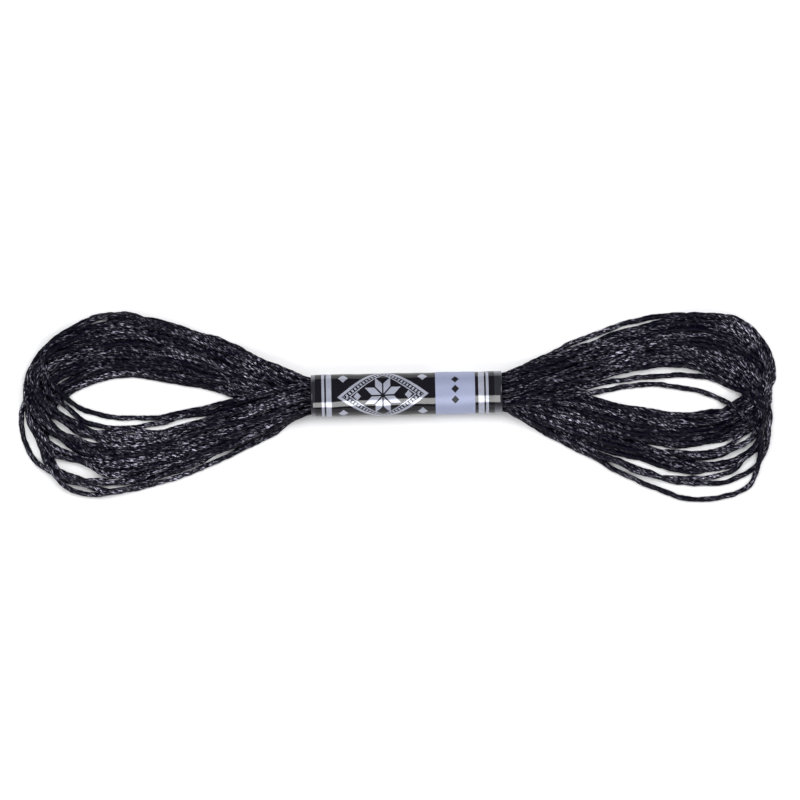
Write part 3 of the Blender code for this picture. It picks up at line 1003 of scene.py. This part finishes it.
class FLOSS_OT_wind_turns(bpy.types.Operator):
    """Wind the whole thread: two loops of settled turns that pass through the label"""

    bl_idname = "floss.wind_turns"
    bl_label = "Wind the turns"

    def execute(self, context):
        settings = context.scene.floss_thread
        random = np.random.default_rng(settings.seed)
        thickness = settings.thickness / MM
        radius = thickness / 2
        rounds = SETTLE_ROUNDS
        turns = len(LEFT_LOOP)
        if turns != len(RIGHT_LOOP):
            raise RuntimeError("the two loops need the same number of turns")
        slots = label_slots(2 * turns)
        loops = []
        for table, gaps, at_right in (
            (LEFT_LOOP, LEFT_GAPS, False), (RIGHT_LOOP, RIGHT_GAPS, True)
        ):
            courses = loop_threads(
                table, gaps, slots, at_right, radius, settings.wander / MM, random
            )
            settled = part_threads(settle(courses, thickness, rounds), gaps, radius, GAP_TRIM)
            loops.append([held_by_label(course, at_right, radius) for course in settled])
        lines = whole_thread(*loops)
        material = floss_material(settings)
        reached_before = 0.0
        for first in range(0, turns, TURNS_PER_PIECE):
            joined = np.vstack(lines[first:first + TURNS_PER_PIECE])
            line = smooth_line(joined, settings.ring_gap / MM)
            steps = np.linalg.norm(np.diff(line, axis=0), axis=1)
            reached = reached_before + np.concatenate(([0.0], np.cumsum(steps)))
            reached_before = reached[-1]
            line, reached = thinned(line, reached)
            last = min(first + TURNS_PER_PIECE, turns)
            name = f"floss_turns_{first + 1:02d}_to_{last:02d}"
            rings = thread_rings(line, reached, settings, random)
            piece = thread_piece(name, rings, reached)
            piece.data.materials.append(material)
            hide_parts("floss_skein")
            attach(piece, "root")
        print(f"length of the thread: {reached_before / 1000:.2f} m")
        return {'FINISHED'}


def oval_girth(half_width, half_height):
    """The length round an oval, closely enough."""
    return math.pi * (3 * (half_width + half_height) - math.sqrt(
        (3 * half_width + half_height) * (half_width + 3 * half_height)))


def wind_film(label, length, film, lap_turn, half_width, half_height):
    """Wind a square grid round the waist, its ends lapped underneath. Sizes in millimetres."""
    for vertex in label.data.vertices:
        along, round_share = vertex.co.x * length, vertex.co.y
        angle = round_share * (1 + lap_turn) * 2 * math.pi
        lift = film * LAP_LIFT * (0.5 - round_share)
        ripple = sum(depth * math.sin(along * waves + turns * angle)
                     for depth, waves, turns in RIPPLES)
        lean = LABEL_LEAN * (2 * along / length) * max(math.cos(angle), 0.0) ** 2
        y = math.sin(angle) * (half_width - lift + ripple) + lean
        z = math.cos(angle) * (half_height - lift + ripple) + LABEL_CENTRE_Z
        lowest = film / 2 + lift * 0.5 + CLEARANCE
        vertex.co = Vector((along, y, max(z, lowest))) * MM


class FLOSS_OT_wrap_label(bpy.types.Operator):
    """Wrap the printed film round the waist of the skein, its ends lapped underneath"""

    bl_idname = "floss.wrap_label"
    bl_label = "Wrap the label"

    def execute(self, context):
        settings = context.scene.floss_label
        film = settings.film / MM
        length = 2 * LABEL_END
        half_width, half_height = LABEL_HALF_WIDTH - film / 2, LABEL_HALF_HEIGHT - film / 2
        girth = oval_girth(half_width, half_height)
        lap_turn = settings.lap / MM / girth
        bpy.ops.object.select_all(action='DESELECT')
        bpy.ops.mesh.primitive_grid_add(
            x_subdivisions=LABEL_GRID[0], y_subdivisions=LABEL_GRID[1], size=1.0, calc_uvs=True
        )
        label = context.active_object
        label.name = "label_film_sleeve"
        wind_film(label, length, film, lap_turn, half_width, half_height)
        label.data.shade_smooth()
        thicken = label.modifiers.new("Film", 'SOLIDIFY')
        thicken.thickness = settings.film
        thicken.offset = 0.0
        bpy.ops.object.modifier_apply(modifier=thicken.name)
        shape = bmesh.new()
        shape.from_mesh(label.data)
        bmesh.ops.recalc_face_normals(shape, faces=shape.faces[:])
        shape.to_mesh(label.data)
        shape.free()
        label.data.materials.clear()
        label.data.materials.append(label_material(settings, length, girth * (1 + lap_turn)))
        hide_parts("label_band")
        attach(label, "root")
        return {'FINISHED'}


def soft_light(name, place, aim, size, power, in_reflections):
    """A rectangular soft light at a place, turned to its aim."""
    lamp = bpy.data.lights.new(name, 'AREA')
    lamp.shape = 'RECTANGLE'
    lamp.size, lamp.size_y = size
    lamp.energy = power
    holder = bpy.data.objects.new(name, lamp)
    bpy.context.scene.collection.objects.link(holder)
    holder.location = place
    holder.rotation_euler = (Vector(aim) - Vector(place)).to_track_quat('-Z', 'Y').to_euler()
    holder.visible_camera = False
    holder.visible_glossy = in_reflections


class FLOSS_OT_set_studio(bpy.types.Operator):
    """Lay the pale floor, hang the soft lights and look down on the skein"""

    bl_idname = "floss.set_studio"
    bl_label = "Set the studio"

    def execute(self, context):
        settings = context.scene.floss_studio
        bpy.ops.object.select_all(action='DESELECT')
        bpy.ops.mesh.primitive_plane_add(size=FLOOR_SIZE, location=MIDDLE)
        floor = context.active_object
        floor.name = "studio_floor"
        floor.data.materials.append(floor_material(settings.floor))
        for light in LIGHTS:
            soft_light(*light)

        world = bpy.data.worlds.new("studio")
        context.scene.world = world
        world.use_nodes = True
        air = world.node_tree.nodes["Background"]
        air.inputs["Color"].default_value = AIR_COLOUR
        air.inputs["Strength"].default_value = AIR_STRENGTH
        context.scene.view_settings.view_transform = 'Standard'

        lens = bpy.data.cameras.new("camera")
        lens.sensor_width = SENSOR_WIDTH
        lens.lens = lens.sensor_width * settings.height / settings.frame_width
        lens.clip_start, lens.clip_end = NEAREST_SEEN, FARTHEST_SEEN
        camera = bpy.data.objects.new("camera", lens)
        context.scene.collection.objects.link(camera)
        camera.location = (settings.aim_x, settings.aim_y, settings.height)
        camera.rotation_euler = (0.0, 0.0, settings.roll)
        context.scene.camera = camera
        return {'FINISHED'}


class FLOSS_PT_skein(bpy.types.Panel):
    """The skein's operators and settings, in the sidebar"""

    bl_idname = "FLOSS_PT_skein"
    bl_label = "Floss skein"
    bl_space_type = 'VIEW_3D'
    bl_region_type = 'UI'
    bl_category = "Floss skein"

    def draw(self, context):
        for step, settings, _ in STEPS:
            box = self.layout.box()
            box.operator(step.bl_idname)
            group = getattr(context.scene, settings)
            for name in group.bl_rna.properties.keys():
                if name not in ("rna_type", "name"):
                    box.prop(group, name)


STEPS = (
    (FLOSS_OT_wind_turns, "floss_thread", FlossSettings),
    (FLOSS_OT_wrap_label, "floss_label", LabelSettings),
    (FLOSS_OT_set_studio, "floss_studio", StudioSettings),
)


def register():
    for step, name, group in STEPS:
        bpy.utils.register_class(group)
        setattr(bpy.types.Scene, name, bpy.props.PointerProperty(type=group))
        bpy.utils.register_class(step)
    bpy.utils.register_class(FLOSS_PT_skein)


def unregister():
    bpy.utils.unregister_class(FLOSS_PT_skein)
    for step, name, group in reversed(STEPS):
        bpy.utils.unregister_class(step)
        delattr(bpy.types.Scene, name)
        bpy.utils.unregister_class(group)


def main():
    register()
    bpy.ops.floss.wind_turns()
    bpy.ops.floss.wrap_label()
    bpy.ops.floss.set_studio()


if __name__ == "__main__":
    main()
